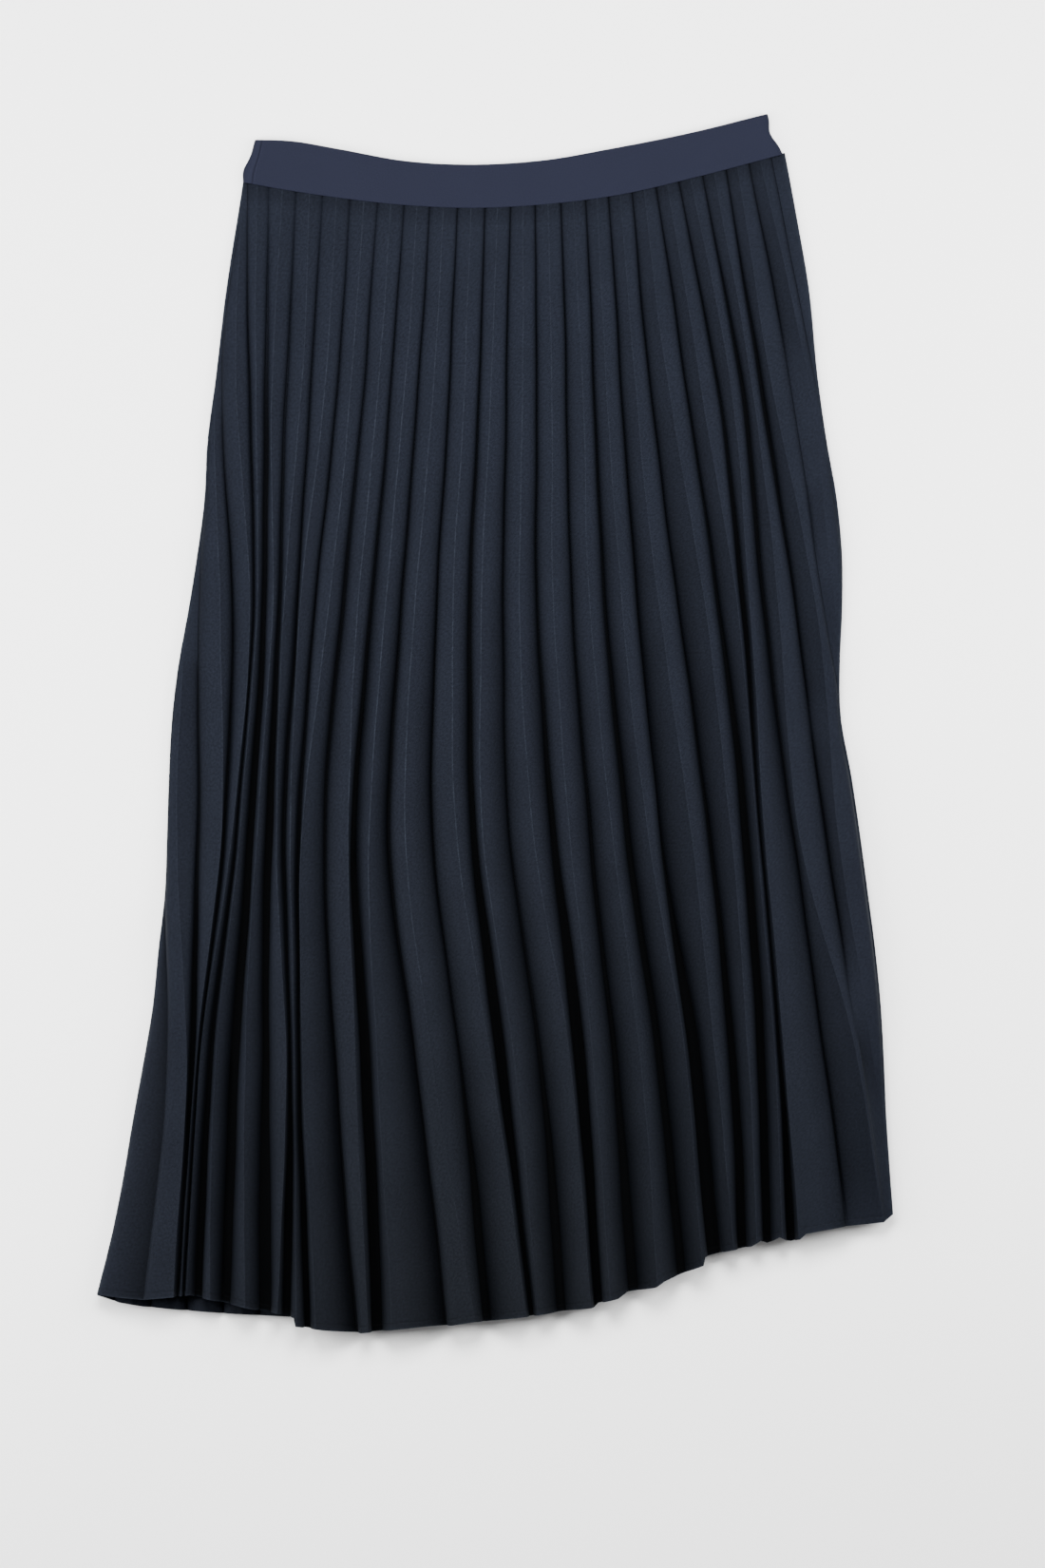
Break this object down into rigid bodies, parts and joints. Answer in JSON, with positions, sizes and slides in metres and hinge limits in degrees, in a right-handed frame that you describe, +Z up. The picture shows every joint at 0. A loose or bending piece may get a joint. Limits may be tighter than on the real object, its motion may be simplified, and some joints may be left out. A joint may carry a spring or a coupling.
{
  "type": "pleated skirt",
  "caption": "Midi skirt in narrow fanned pleats on a plain elastic waistband, laid flat on its back with its hem fanned out.",
  "frame": {"origin": "middle of the bounding box on the ground the skirt lies on", "axes": "+Y from hem to waist, +X across to the viewer's right, +Z up out of the front of the skirt"},
  "size_m": [0.5594, 0.8555, 0.0276],
  "materials": {
    "skirt_front": "matt pleated woven cloth, dark navy",
    "skirt_back": "matt pleated woven cloth, dark navy",
    "waistband": "smooth matt elastic, navy"
  },
  "bodies": {
    "root": {"skirt_front": "skirt_front", "skirt_back": "skirt_back", "waistband": "waistband"}
  },
  "joints": []
}
